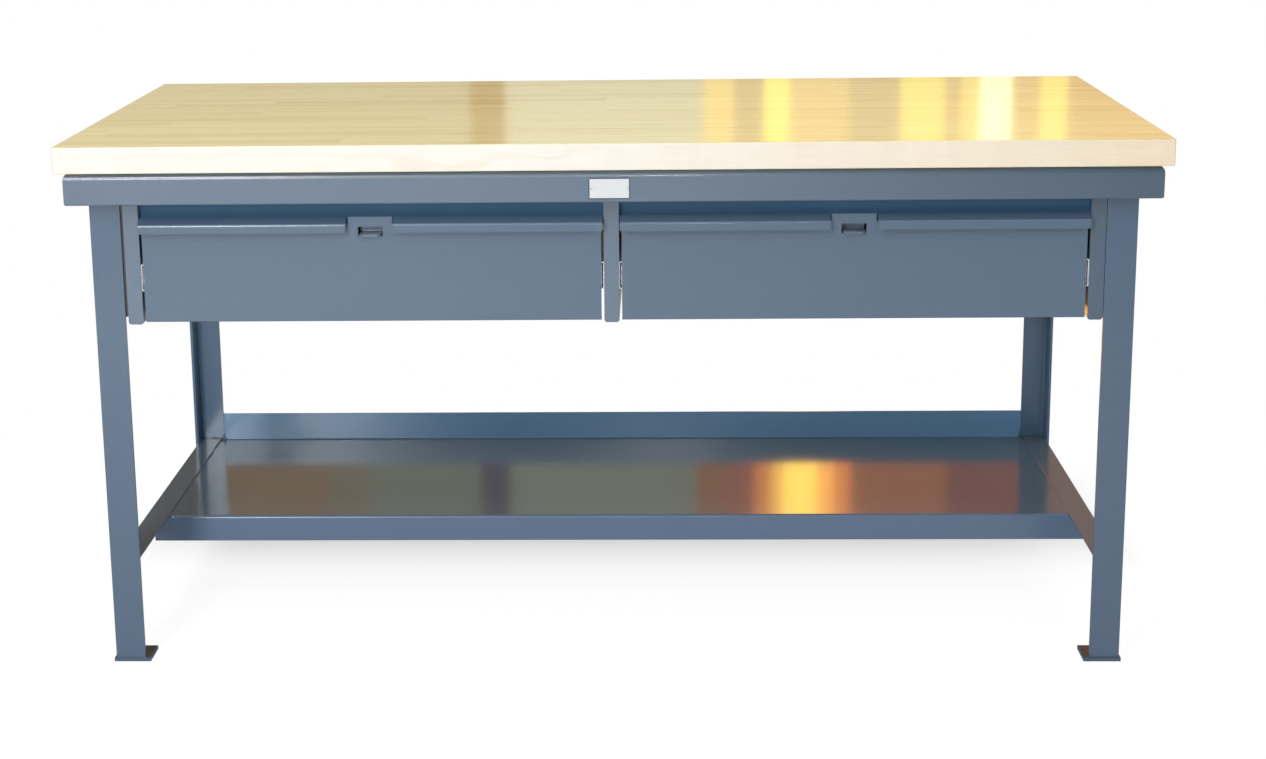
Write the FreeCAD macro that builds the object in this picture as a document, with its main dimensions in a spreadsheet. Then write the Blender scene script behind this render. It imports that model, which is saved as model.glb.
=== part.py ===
import FreeCAD, Part
import math
import os
import Sketcher

# Welded steel workbench with a laminated maple top, a lower shelf and two side by side drawers.
# Millimetres, +Z up. The origin is on the floor under the middle of the top, and the drawers face -Y.

SIZES = {
    # Maple top
    "top_width": 1828.8,
    "top_depth": 914.4,
    "top_thickness": 44.45,
    "top_edge_radius": 2.4,
    "top_overhang": 12.7,
    # Top frame of folded channel, mitred at the corners
    "frame_height": 863.6,
    "apron_height": 55.0,
    "apron_flange": 33.3,
    "apron_sheet": 3.0,
    "apron_bend": 12.7,
    "apron_low_bend": 4.0,
    # Angle legs on foot plates
    "leg_width": 50.8,
    "leg_thickness": 4.8,
    "leg_root_radius": 3.2,
    "foot_plate_side": 63.5,
    "foot_plate_thickness": 6.4,
    "foot_plate_lip": 3.2,
    "anchor_hole": 14.3,
    # Side rails and lower shelf
    "rail_flange": 40.0,
    "rail_thickness": 3.2,
    "rail_root_radius": 2.5,
    "rail_top": 182.0,
    "shelf_sheet": 2.7,
    "shelf_bend": 5.4,
    "shelf_setback": 278.0,
    "shelf_front_flange": 47.6,
    "shelf_back_flange": 54.4,
    "shelf_end_gap": 9.0,
    # Drawer housing under the frame
    "housing_shift": 2.0,
    "housing_gap": 2.9,
    "hanger_width": 25.4,
    "hanger_sheet": 1.9,
    "hanger_bevel": 3.2,
    "hanger_drop": 207.8,
    "hanger_end": 37.0,
    "strip_width": 22.0,
    "strip_thickness": 3.0,
    "strip_rise": 12.5,
    "brace_sheet": 3.0,
    "brace_bend": 4.5,
    "front_rail_height": 44.0,
    "front_rail_flange": 18.0,
    "front_rail_sheet": 3.0,
    "front_rail_bend": 4.5,
    "front_rail_setback": 15.2,
    # Padlock tongues on the front rails
    "tongue_width": 36.0,
    "tongue_thickness": 3.2,
    "tongue_bend": 5.0,
    "tongue_reach": 12.0,
    "tongue_corner": 5.0,
    "tongue_drop": 13.8,
    "shackle_hole": 7.0,
    "shackle_edge": 2.0,
    # Drawers of folded sheet
    "front_sheet": 1.9,
    "front_side_gap": 4.4,
    "front_top_gap": 26.5,
    "front_height": 177.2,
    "front_return": 12.0,
    "front_fold": 1.6,
    "pull_reach": 16.0,
    "pull_drop": 10.0,
    "pull_lip": 14.5,
    "pull_corner": 4.0,
    "pull_fold": 5.5,
    "pull_overlap": 3.0,
    "tab_width": 74.0,
    "tab_slit": 2.5,
    "slit_depth": 12.0,
    "slot_width": 41.0,
    "slot_margin": 1.5,
    "slot_height": 16.0,
    "tray_sheet": 1.5,
    "tray_bend": 3.0,
    "tray_end_gap": 1.0,
    "tray_height": 136.0,
    "tray_top_flange": 9.0,
    "back_top_gap": 6.0,
    # Ball bearing slides
    "slide_thickness": 12.7,
    "slide_height": 45.7,
    "slide_length": 500.0,
    "slide_drop": 102.0,
    "slide_front_gap": 1.0,
    "outer_sheet": 1.3,
    "outer_reach": 11.2,
    "outer_curl": 1.2,
    "middle_sheet": 1.2,
    "middle_height": 34.6,
    "middle_offset": 3.6,
    "middle_reach": 7.6,
    "middle_curl": 1.0,
    "inner_sheet": 1.2,
    "inner_height": 24.4,
    "inner_reach": 5.7,
    "slide_bend": 1.8,
    "ball_play": 0.1,
    "cage_end_gap": 7.0,
    "cage_sheet": 0.5,
    "cage_web_gap": 0.3,
    "cage_rim": 0.5,
    "cage_end_margin": 8.0,
    "cage_window_play": 0.2,
    # Lag screws and plate
    "lag_radius": 3.97,
    "lag_length": 38.0,
    "lag_head_radius": 7.3,
    "lag_head_height": 5.2,
    "lag_play": 0.1,
    "lag_inset": 301.7,
    "plate_width": 68.0,
    "plate_height": 35.0,
    "plate_thickness": 0.8,
    "plate_corner": 2.0,
    "plate_rise": 5.9,
    # One overrun for every cut
    "overrun": 5.0,
}

# Wall of a sloping fold measured upright, the corners of an octagonal bar, and where balls and screws stand
bevel_wall_share = 2 - math.sqrt(2)
fold_wall_share = 1.2
octagon_corner_share = 1 / math.cos(math.pi / 8)
ball_shares = (-1.0, 1.0)

doc = FreeCAD.newDocument("Workbench")
sheet = doc.addObject("Spreadsheet::Sheet", "Sizes")
for row, (alias, number) in enumerate(SIZES.items(), start=1):
    sheet.set(f"A{row}", alias)
    sheet.set(f"B{row}", str(number))
    sheet.setAlias(f"B{row}", alias)
doc.recompute()


class Length:
    """A size of the sheet, or one worked out from such sizes: its value and its expression."""

    def __init__(self, value, text):
        self.value = value
        self.text = text

    @staticmethod
    def of(other):
        return other if isinstance(other, Length) else Length(float(other), repr(float(other)))

    def __add__(self, other):
        other = Length.of(other)
        return Length(self.value + other.value, f"({self.text} + {other.text})")

    def __sub__(self, other):
        other = Length.of(other)
        return Length(self.value - other.value, f"({self.text} - {other.text})")

    def __mul__(self, other):
        other = Length.of(other)
        return Length(self.value * other.value, f"({self.text} * {other.text})")

    def __truediv__(self, other):
        other = Length.of(other)
        return Length(self.value / other.value, f"({self.text} / {other.text})")

    def __neg__(self):
        return Length(-self.value, f"(-1 * {self.text})")

    __rmul__ = __mul__


class Sheet:
    """Gives each size of the sheet by its alias."""

    def __getattr__(self, alias):
        return Length(float(sheet.get(alias)), f"Sizes.{alias}")


size = Sheet()
zero = Length.of(0)
nodes = []


def origin_plane(body, role):
    return [feature for feature in body.Origin.OriginFeatures if feature.Role == role][0]


def new_body(label):
    body = doc.addObject("PartDesign::Body", label)
    body.Label = label
    nodes.append(body)
    return body


def ordered(one, other):
    return (one, other) if one.value <= other.value else (other, one)


def new_sketch(body, name, across, place):
    """A sketch on the origin plane square to an axis, moved along that axis to its place."""
    role = {"X": "YZ_Plane", "Y": "XZ_Plane", "Z": "XY_Plane"}[across]
    sketch = body.newObject("Sketcher::SketchObject", name)
    sketch.AttachmentSupport = [(origin_plane(body, role), "")]
    sketch.MapMode = "FlatFace"
    offset = -place if across == "Y" else place
    sketch.setExpression("AttachmentOffset.Base.z", offset.text)
    return sketch


def pin_point(sketch, geometry, point, place):
    """Ties a point of the sketch to its place with a horizontal and a vertical dimension."""
    for kind, amount in zip(("DistanceX", "DistanceY"), place):
        index = sketch.addConstraint(Sketcher.Constraint(kind, -1, 1, geometry, point, amount.value))
        sketch.setExpression(f"Constraints[{index}]", amount.text)


def toward(start, end):
    """The sign of the step from one corner to the next, along each axis."""
    return [(end[axis].value > start[axis].value) - (end[axis].value < start[axis].value) for axis in (0, 1)]


def draw_outline(sketch, corners):
    """A closed outline of straight runs. A corner with a third value is a bend of that radius."""
    count = len(corners)
    runs = []
    for index, corner in enumerate(corners):
        if len(corner) == 2:
            runs.append((corner, corner, None))
            continue
        x, y, radius = corner
        back = toward(corner, corners[index - 1])
        ahead = toward(corner, corners[(index + 1) % count])
        arrive = (x + radius * back[0], y + radius * back[1])
        leave = (x + radius * ahead[0], y + radius * ahead[1])
        centre = (x + radius * (back[0] + ahead[0]), y + radius * (back[1] + ahead[1]))
        runs.append((arrive, leave, centre))

    def point(place):
        return FreeCAD.Vector(place[0].value, place[1].value, 0)

    lines = []
    for index in range(count):
        start = runs[index][1]
        end = runs[(index + 1) % count][0]
        line = sketch.addGeometry(Part.LineSegment(point(start), point(end)))
        pin_point(sketch, line, 1, start)
        lines.append(line)
    for index, (arrive, leave, centre) in enumerate(runs):
        before = lines[index - 1]
        if centre is None:
            sketch.addConstraint(Sketcher.Constraint("Coincident", before, 2, lines[index], 1))
            continue
        pin_point(sketch, before, 2, arrive)
        middle = point(centre)
        spoke = point(arrive) - middle
        other = point(leave) - middle
        angle = math.atan2(spoke.y, spoke.x)
        turn = (math.atan2(other.y, other.x) - angle) % (math.pi * 2)
        first, last = (1, 2)
        if turn > math.pi:
            angle, turn = angle + turn, math.pi * 2 - turn
            first, last = (2, 1)
        circle = Part.Circle(middle, FreeCAD.Vector(0, 0, 1), spoke.Length)
        arc = sketch.addGeometry(Part.ArcOfCircle(circle, angle, angle + turn))
        sketch.addConstraint(Sketcher.Constraint("Coincident", before, 2, arc, first))
        sketch.addConstraint(Sketcher.Constraint("Coincident", arc, last, lines[index], 1))
        mark = sketch.addConstraint(Sketcher.Constraint("DistanceX", -1, 1, arc, 3, centre[0].value))
        sketch.setExpression(f"Constraints[{mark}]", centre[0].text)


def draw_circles(sketch, centres, radius):
    for centre in centres:
        place = FreeCAD.Vector(centre[0].value, centre[1].value, 0)
        circle = sketch.addGeometry(Part.Circle(place, FreeCAD.Vector(0, 0, 1), radius.value))
        index = sketch.addConstraint(Sketcher.Constraint("Radius", circle, radius.value))
        sketch.setExpression(f"Constraints[{index}]", radius.text)
        pin_point(sketch, circle, 3, centre)


def add(body, name, across, corners, one, other):
    """Pads an outline along an axis, from one place on it to the other."""
    low, high = ordered(one, other)
    sketch = new_sketch(body, name + "_outline", across, low)
    draw_outline(sketch, corners)
    pad = body.newObject("PartDesign::Pad", name)
    pad.Profile = sketch
    pad.Reversed = across == "Y"
    pad.setExpression("Length", (high - low).text)
    sketch.Visibility = False
    return pad


def pocket(body, name, across, sketch, low, high):
    cut = body.newObject("PartDesign::Pocket", name)
    cut.Profile = sketch
    cut.setExpression("Length", (high - low).text)
    sketch.Visibility = False
    return cut


def cut_outline(body, name, across, corners, one, other):
    """Cuts an outline along an axis, from one place on it to the other."""
    low, high = ordered(one, other)
    sketch = new_sketch(body, name + "_outline", across, low if across == "Y" else high)
    draw_outline(sketch, corners)
    return pocket(body, name, across, sketch, low, high)


def cut_holes(body, name, across, centres, radius, one, other):
    low, high = ordered(one, other)
    sketch = new_sketch(body, name + "_holes", across, low if across == "Y" else high)
    draw_circles(sketch, centres, radius)
    return pocket(body, name, across, sketch, low, high)


def rectangle(low_x, low_y, high_x, high_y):
    return [(low_x, low_y), (high_x, low_y), (high_x, high_y), (low_x, high_y)]


def round_edges(body, name, places, radius, kind="Fillet"):
    """Rounds or bevels each edge whose middle is at one of the places."""
    doc.recompute()
    base = body.Tip
    picked = []
    for place in places:
        aim = FreeCAD.Vector(*[amount.value for amount in place])
        edges = enumerate(base.Shape.Edges, start=1)
        index, edge = min(edges, key=lambda item: item[1].CenterOfMass.distanceToPoint(aim))
        picked.append(f"Edge{index}")
    feature = body.newObject(f"PartDesign::{kind}", name)
    feature.Base = (base, picked)
    feature.setExpression("Radius" if kind == "Fillet" else "Size", radius.text)
    return feature


# Places that several pieces share
frame_x = size.top_width / 2 - size.top_overhang
frame_y = size.top_depth / 2 - size.top_overhang
frame_bottom = size.frame_height - size.apron_height
leg_x = frame_x - size.apron_flange
leg_y = frame_y - size.apron_flange
leg_inner_x = leg_x - size.leg_thickness
leg_inner_y = leg_y - size.leg_thickness
leg_edge_x = leg_x - size.leg_width
face_y = -leg_y
overrun = size.overrun

flange_middle = frame_y - (size.apron_flange + size.apron_bend) / 2
lag_x = frame_x - size.lag_inset
lag_places = [(lag_x * end, flange_middle * side) for side in (-1, 1) for end in (-1, 1)]
lag_bore = size.lag_radius + size.lag_play


def make_top():
    body = new_body("maple_top")
    half_x = size.top_width / 2
    half_y = size.top_depth / 2
    top = size.frame_height + size.top_thickness
    add(body, "board", "Z", rectangle(-half_x, -half_y, half_x, half_y), size.frame_height, top)
    rim = [(zero, -half_y), (zero, half_y), (-half_x, zero), (half_x, zero)]
    edges = [(x, y, z) for x, y in rim for z in (size.frame_height, top)]
    edges += [(x, y, size.frame_height + size.top_thickness / 2)
              for x in (-half_x, half_x) for y in (-half_y, half_y)]
    round_edges(body, "eased_edges", edges, size.top_edge_radius)
    depth = size.lag_length - size.apron_sheet + size.lag_play
    cut_holes(body, "pilots", "Z", lag_places, lag_bore, size.frame_height, size.frame_height + depth)


def channel(near, far, low, high, wall, bend, low_bend=None):
    """A channel section: the web at near, the flanges reaching to far."""
    inward = 1 if far.value > near.value else -1
    web = near + wall * inward
    low_bend = low_bend or bend
    return [(near, low, low_bend), (near, high, bend), (far, high), (far, high - wall),
            (web, high - wall, bend - wall), (web, low + wall, low_bend - wall), (far, low + wall), (far, low)]


def curled_channel(near, far, low, high, wall, bend, curl):
    """A channel section whose flange tips are turned toward each other, as a race for balls."""
    inward = 1 if far.value > near.value else -1
    web = near + wall * inward
    tip = far - wall * inward
    return [(near, low, bend), (near, high, bend), (far, high), (far, high - wall - curl),
            (tip, high - wall - curl), (tip, high - wall), (web, high - wall, bend - wall),
            (web, low + wall, bend - wall), (tip, low + wall), (tip, low + wall + curl),
            (far, low + wall + curl), (far, low)]


def make_apron(label, side, along_x):
    body = new_body(label)
    outer, inner = (frame_y, leg_y) if along_x else (frame_x, leg_x)
    reach = frame_x if along_x else frame_y
    section = channel(outer * side, inner * side, frame_bottom, size.frame_height,
                      size.apron_sheet, size.apron_bend, size.apron_low_bend)
    if along_x:
        add(body, "channel", "X", section, -reach, reach)
    else:
        add(body, "channel", "Y", section, -reach, reach)
    for end in (-1, 1):
        x_side, y_side = (end, side) if along_x else (side, end)
        outer_corner = ((frame_x + overrun) * x_side, (frame_y + overrun) * y_side)
        inner_corner = ((leg_x - overrun) * x_side, (leg_y - overrun) * y_side)
        third = (outer_corner[0], inner_corner[1]) if along_x else (inner_corner[0], outer_corner[1])
        name = "mitre_low" if end < 0 else "mitre_high"
        cut_outline(body, name, "Z", [outer_corner, inner_corner, third],
                    frame_bottom - overrun, size.frame_height + overrun)
    if along_x:
        places = [(lag_x * end, flange_middle * side) for end in (-1, 1)]
        cut_holes(body, "lag_holes", "Z", places, lag_bore, frame_bottom + size.apron_height / 2,
                  size.frame_height + overrun)


def make_leg(label, x_side, y_side):
    body = new_body(label)
    outer_x, outer_y = leg_x * x_side, leg_y * y_side
    inner_x, inner_y = leg_inner_x * x_side, leg_inner_y * y_side
    toe_x = (leg_x - size.leg_width) * x_side
    toe_y = (leg_y - size.leg_width) * y_side
    section = [(outer_x, outer_y), (toe_x, outer_y), (toe_x, inner_y),
               (inner_x, inner_y, size.leg_root_radius), (inner_x, toe_y), (outer_x, toe_y)]
    add(body, "angle", "Z", section, size.foot_plate_thickness, size.frame_height)


def make_foot_plate(label, x_side, y_side):
    body = new_body(label)
    near_x = leg_x + size.foot_plate_lip
    near_y = leg_y + size.foot_plate_lip
    far_x = near_x - size.foot_plate_side
    far_y = near_y - size.foot_plate_side
    add(body, "plate", "Z", rectangle(near_x * x_side, near_y * y_side, far_x * x_side, far_y * y_side),
        zero, size.foot_plate_thickness)
    hole_x = (leg_inner_x + far_x) / 2
    hole_y = (leg_inner_y + far_y) / 2
    cut_holes(body, "anchor", "Z", [(hole_x * x_side, hole_y * y_side)], size.anchor_hole / 2,
              -overrun, size.foot_plate_thickness + overrun)


def make_shelf_rail(label, side):
    body = new_body(label)
    outer = leg_inner_x
    web = outer - size.rail_thickness
    low = size.rail_top - size.rail_flange
    under = size.rail_top - size.rail_thickness
    reach = leg_inner_y - size.leg_root_radius
    section = [(outer * side, size.rail_top), ((outer - size.rail_flange) * side, size.rail_top),
               ((outer - size.rail_flange) * side, under), (web * side, under, size.rail_root_radius),
               (web * side, low), (outer * side, low)]
    add(body, "angle", "Y", section, -reach, reach)


def make_shelf():
    body = new_body("lower_shelf")
    deck = size.rail_top - size.rail_thickness
    under = deck - size.shelf_sheet
    front = -leg_y + size.shelf_setback
    inner_bend = size.shelf_bend - size.shelf_sheet
    flange_face = leg_y - size.shelf_sheet
    section = [(front, deck, size.shelf_bend), (flange_face, deck, inner_bend),
               (flange_face, deck + size.shelf_back_flange), (leg_y, deck + size.shelf_back_flange),
               (leg_y, under, size.shelf_bend), (front + size.shelf_sheet, under, inner_bend),
               (front + size.shelf_sheet, deck - size.shelf_front_flange),
               (front, deck - size.shelf_front_flange)]
    end = leg_inner_x - size.rail_thickness - size.shelf_end_gap
    add(body, "pan", "X", section, -end, end)
    for side in (-1, 1):
        name = "leg_notch_left" if side < 0 else "leg_notch_right"
        near, far = ordered(leg_edge_x * side, (end + overrun) * side)
        cut_outline(body, name, "Z", rectangle(near, leg_inner_y, far, leg_y + overrun),
                    under - overrun, deck + size.shelf_back_flange + overrun)


# Slides and the drawers between the hangers
slide_front = face_y + size.front_sheet + size.slide_front_gap
slide_back = slide_front + size.slide_length
front_top = frame_bottom - size.front_top_gap
slide_level = front_top - size.slide_drop
bay_pitch = leg_edge_x - size.housing_gap - size.hanger_width / 2
bay_half = (bay_pitch - size.hanger_width) / 2
drawers = {"left": size.housing_shift - bay_pitch / 2, "right": size.housing_shift + bay_pitch / 2}
hangers = {"left": size.housing_shift - bay_pitch, "centre": size.housing_shift,
           "right": size.housing_shift + bay_pitch}
hanger_back = slide_back + size.hanger_end


def make_brace(label, middle, web_side):
    body = new_body(label)
    half = size.hanger_width / 2
    section = channel(middle + half * web_side, middle - half * web_side, frame_bottom, size.frame_height,
                      size.brace_sheet, size.brace_bend)
    add(body, "channel", "Y", section, -leg_y, leg_y)


def bevelled(middle, half, low, high, bevel):
    """An upright rectangle with its two lower corners cut off at 45 degrees."""
    return [(middle - half, low + bevel), (middle - half + bevel, low), (middle + half - bevel, low),
            (middle + half, low + bevel), (middle + half, high), (middle - half, high)]


def make_hanger(label, middle):
    body = new_body(label)
    half = size.hanger_width / 2
    low = frame_bottom - size.hanger_drop
    wall = size.hanger_sheet
    add(body, "shell", "Y", bevelled(middle, half, low, frame_bottom, size.hanger_bevel), face_y, hanger_back)
    inner_bevel = size.hanger_bevel - wall * bevel_wall_share
    cut_outline(body, "hollow", "Y",
                bevelled(middle, half - wall, low + wall, frame_bottom + overrun, inner_bevel),
                face_y + wall, hanger_back + overrun)


def make_lap_strip(label, middle, side):
    body = new_body(label)
    near = middle + size.hanger_width / 2 * side
    low = frame_bottom - size.hanger_drop + size.strip_rise
    add(body, "bar", "Y", rectangle(near, low, near + size.strip_width * side, frame_bottom),
        -leg_inner_y, -leg_inner_y + size.strip_thickness)


def make_front_rail(label, middle):
    body = new_body(label)
    near = face_y + size.front_rail_setback
    web = near + size.front_rail_sheet
    far = near + size.front_rail_flange
    low = frame_bottom - size.front_rail_height
    under = frame_bottom - size.front_rail_sheet
    section = [(near, low), (near, frame_bottom, size.front_rail_bend), (far, frame_bottom), (far, under),
               (web, under, size.front_rail_bend - size.front_rail_sheet), (web, low)]
    add(body, "angle", "X", section, middle - bay_half, middle + bay_half)


tongue_low = frame_bottom - size.front_rail_height - size.tongue_drop


def make_tongue(label, middle):
    body = new_body(label)
    near = face_y + size.front_rail_setback + size.front_rail_sheet
    far = near + size.tongue_thickness
    tip = face_y - size.tongue_reach
    low = tongue_low
    high = frame_bottom - size.front_rail_sheet - size.front_rail_bend
    section = [(tip, low), (far, low, size.tongue_bend), (far, high), (near, high),
               (near, low + size.tongue_thickness, size.tongue_bend - size.tongue_thickness),
               (tip, low + size.tongue_thickness)]
    half = size.tongue_width / 2
    add(body, "strap", "X", section, middle - half, middle + half)
    middle_z = low + size.tongue_thickness / 2
    round_edges(body, "nose", [(middle - half, tip, middle_z), (middle + half, tip, middle_z)],
                size.tongue_corner, "Chamfer")
    hole_y = tip + size.shackle_edge + size.shackle_hole / 2
    cut_holes(body, "shackle", "Z", [(middle, hole_y)], size.shackle_hole / 2, low - overrun,
              low + size.tongue_thickness + overrun)


front_half = bay_half - size.front_side_gap
pull_half = front_half + size.pull_overlap
front_bottom = front_top - size.front_height
tray_half = bay_half - size.slide_thickness
tray_bottom = front_bottom + size.front_sheet
tray_front = face_y + size.front_sheet
tray_back = slide_back - size.tray_end_gap


def make_drawer_front(label, middle):
    body = new_body(label)
    wall = size.front_sheet
    inside = face_y + wall
    add(body, "face", "Y", rectangle(middle - front_half, front_bottom, middle + front_half, front_top),
        face_y, inside)
    add(body, "bottom_return", "X",
        rectangle(face_y, front_bottom, face_y + size.front_return, front_bottom + wall),
        middle - front_half, middle + front_half)
    lip_face = face_y - size.pull_reach
    lip_back = lip_face + wall
    lip_top = front_top - size.pull_drop
    lip_low = lip_top - size.pull_lip
    under = wall * fold_wall_share
    slope = size.pull_drop / size.pull_reach
    hook = [(inside, front_top), (face_y, front_top), (lip_face, lip_top), (lip_face, lip_low),
            (lip_back, lip_low), (lip_back, lip_top + slope * wall - under), (face_y, front_top - under),
            (inside, front_top - under)]
    tab_half = size.tab_width / 2 + size.tab_slit
    for side, name in ((-1, "left_pull"), (1, "right_pull")):
        add(body, name, "X", hook, middle + tab_half * side, middle + pull_half * side)
    for side, name in ((-1, "left_slit"), (1, "right_slit")):
        near, far = ordered(middle + (size.tab_width / 2) * side, middle + tab_half * side)
        cut_outline(body, name, "Y", rectangle(near, front_top - size.slit_depth, far, front_top + overrun),
                    lip_face - overrun, inside + overrun)
    slot_half = size.slot_width / 2
    slot_low = tongue_low - size.slot_margin
    cut_outline(body, "padlock_slot", "Y",
                rectangle(middle - slot_half, slot_low, middle + slot_half, slot_low + size.slot_height),
                lip_face - overrun, inside + overrun)
    ends = [middle + end * side for side in (-1, 1) for end in (tab_half, pull_half)]
    lip_middle = (lip_face + lip_back) / 2
    round_edges(body, "lip_corners", [(x, lip_middle, lip_low) for x in ends], size.pull_corner)
    pulls = [middle + (tab_half + pull_half) / 2 * side for side in (-1, 1)]
    round_edges(body, "pull_folds", [(x, lip_face, lip_top) for x in pulls], size.pull_fold)
    round_edges(body, "bottom_fold", [(middle, face_y, front_bottom)], size.front_fold)


def make_tray(label, middle):
    body = new_body(label)
    wall = size.tray_sheet
    bend = size.tray_bend
    top = tray_bottom + size.tray_height
    left, right = middle - tray_half, middle + tray_half
    flange = size.tray_top_flange
    section = [(left, tray_bottom, bend), (right, tray_bottom, bend), (right, top, bend), (right - flange, top),
               (right - flange, top - wall), (right - wall, top - wall, bend - wall),
               (right - wall, tray_bottom + wall, bend - wall), (left + wall, tray_bottom + wall, bend - wall),
               (left + wall, top - wall, bend - wall), (left + flange, top - wall), (left + flange, top),
               (left, top, bend)]
    add(body, "sheet", "Y", section, tray_front, tray_back)


def make_drawer_back(label, middle):
    body = new_body(label)
    wall = size.tray_sheet
    half = tray_half - wall
    low = tray_bottom + wall
    high = tray_bottom + size.tray_height - size.back_top_gap
    bend = size.tray_bend - wall
    add(body, "panel", "Y", [(middle - half, low, bend), (middle + half, low, bend), (middle + half, high),
                             (middle - half, high)], tray_back - wall, tray_back)
    rim = size.tray_top_flange
    add(body, "top_fold", "Y", rectangle(middle - half + rim, high - wall, middle + half - rim, high),
        tray_back - rim, tray_back - wall)


def make_member(label, wall_x, inward, span, height, wall, curl):
    """One member of a slide, rolled from strip. Its span is counted from the hanger's wall."""
    body = new_body(label)
    web, tips = (wall_x + depth * inward for depth in span)
    low = slide_level - height / 2
    high = slide_level + height / 2
    if curl is None:
        section = channel(web, tips, low, high, wall, size.slide_bend)
    else:
        section = curled_channel(web, tips, low, high, wall, size.slide_bend, curl)
    add(body, "rolled_strip", "Y", section, slide_front, slide_back)


cage_length = size.slide_length / 2 - size.cage_end_gap * 2
ball_reach = cage_length / 2 - size.cage_end_margin
ball_rows = [slide_front + size.slide_length / 2 + ball_reach * share for share in ball_shares]


def make_ball(name, centre, radius):
    """A ball with eighteen flats, which three octagonal bars that cross at its middle share."""
    x, y, z = centre
    corner = radius * octagon_corner_share
    bars = [rod(name + "_x", (x - radius, y, z), (1, 0, 0), corner, radius * 2, 8),
            rod(name + "_y", (x, y - radius, z), (0, 1, 0), corner, radius * 2, 8),
            rod(name + "_z", (x, y, z - radius), (0, 0, 1), corner, radius * 2, 8)]
    ball = doc.addObject("Part::MultiCommon", name)
    ball.Shapes = bars
    return ball


def make_cage(label, wall_x, inward, web_depth, race_depth, outside, inside):
    """A folded retainer and its two rows of balls, between two members of a slide."""
    radius = (outside - inside) / 2 - size.ball_play
    depth = race_depth - radius - size.ball_play
    row = (outside + inside) / 2
    window = radius + size.cage_window_play
    web = wall_x + web_depth * inward
    tips = wall_x + (depth + window + size.cage_rim) * inward
    body = doc.addObject("PartDesign::Body", label + "_retainer")
    half = size.cage_sheet / 2
    low = slide_level - row - half
    high = slide_level + row + half
    middle_y = slide_front + size.slide_length / 2
    section = [(web, low), (web, high), (tips, high), (tips, high - size.cage_sheet),
               (web + size.cage_sheet * inward, high - size.cage_sheet),
               (web + size.cage_sheet * inward, low + size.cage_sheet), (tips, low + size.cage_sheet), (tips, low)]
    add(body, "folded_strip", "Y", section, middle_y - cage_length / 2, middle_y + cage_length / 2)
    centre_x = wall_x + depth * inward
    pieces = [body]
    for index, y in enumerate(ball_rows):
        cut_outline(body, f"window_{index}", "Z",
                    rectangle(centre_x - window, y - window, centre_x + window, y + window),
                    low - overrun, high + overrun)
        for side in (-1, 1):
            pieces.append(make_ball(f"{label}_ball_{index}{side + 1}", (centre_x, y, slide_level + row * side),
                                    radius))
    group(label, pieces)


def make_slide(tag, wall_x, inward):
    """A full extension slide: an outer, a middle and an inner member, with two caged sets of balls."""
    outer_inside = size.slide_height / 2 - size.outer_sheet
    middle_outside = size.middle_height / 2
    middle_inside = middle_outside - size.middle_sheet
    inner_outside = size.inner_height / 2
    middle_tips = size.middle_offset + size.middle_reach
    inner_tips = size.slide_thickness - size.inner_reach
    make_member(f"slide_outer_{tag}", wall_x, inward, (zero, size.outer_reach), size.slide_height,
                size.outer_sheet, size.outer_curl)
    make_member(f"slide_middle_{tag}", wall_x, inward, (size.middle_offset, middle_tips), size.middle_height,
                size.middle_sheet, size.middle_curl)
    make_member(f"slide_inner_{tag}", wall_x, inward, (size.slide_thickness, inner_tips), size.inner_height,
                size.inner_sheet, None)
    make_cage(f"ball_cage_outer_{tag}", wall_x, inward,
              size.middle_offset - size.cage_web_gap - size.cage_sheet, size.outer_reach - size.outer_sheet,
              outer_inside, middle_outside)
    make_cage(f"ball_cage_inner_{tag}", wall_x, inward,
              size.middle_offset + size.middle_sheet + size.cage_web_gap, middle_tips - size.middle_sheet,
              middle_inside, inner_outside)


def place(piece, x, y, z):
    piece.setExpression("Placement.Base.x", x.text)
    piece.setExpression("Placement.Base.y", y.text)
    piece.setExpression("Placement.Base.z", z.text)


def group(label, pieces):
    """Identical small pieces that share one node as separate solids."""
    compound = doc.addObject("Part::Compound", label)
    compound.Label = label
    compound.Links = pieces
    nodes.append(compound)


def rod(name, base, direction, radius, length, sides=None):
    """A round bar, or one with that many sides, that starts at base and runs in a direction."""
    piece = doc.addObject("Part::Prism" if sides else "Part::Cylinder", name)
    turn = FreeCAD.Rotation(FreeCAD.Vector(0, 0, 1), FreeCAD.Vector(*direction))
    if sides:
        piece.Polygon = sides
        turn = turn * FreeCAD.Rotation(FreeCAD.Vector(0, 0, 1), 180 / sides)
    piece.setExpression("Circumradius" if sides else "Radius", radius.text)
    piece.setExpression("Height", length.text)
    piece.Placement = FreeCAD.Placement(FreeCAD.Vector(), turn)
    place(piece, *base)
    return piece


def joined(name, pieces):
    fuse = doc.addObject("Part::MultiFuse", name)
    fuse.Shapes = pieces
    return fuse


def make_lag_screws():
    pieces = []
    head_low = size.frame_height - size.apron_sheet - size.lag_head_height
    for index, (x, y) in enumerate(lag_places):
        name = f"lag_{index}"
        shank = rod(name + "_shank", (x, y, head_low), (0, 0, 1), size.lag_radius,
                    size.lag_head_height + size.lag_length)
        head = rod(name + "_head", (x, y, head_low), (0, 0, 1), size.lag_head_radius, size.lag_head_height, 6)
        pieces.append(joined(name, [shank, head]))
    group("top_lag_screws", pieces)


plate_low = frame_bottom + size.plate_rise


def make_nameplate():
    body = new_body("nameplate")
    half = size.plate_width / 2
    corner = size.plate_corner
    add(body, "plate", "Y", [(-half, plate_low, corner), (half, plate_low, corner),
                             (half, plate_low + size.plate_height, corner),
                             (-half, plate_low + size.plate_height, corner)],
        -frame_y - size.plate_thickness, -frame_y)


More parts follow.
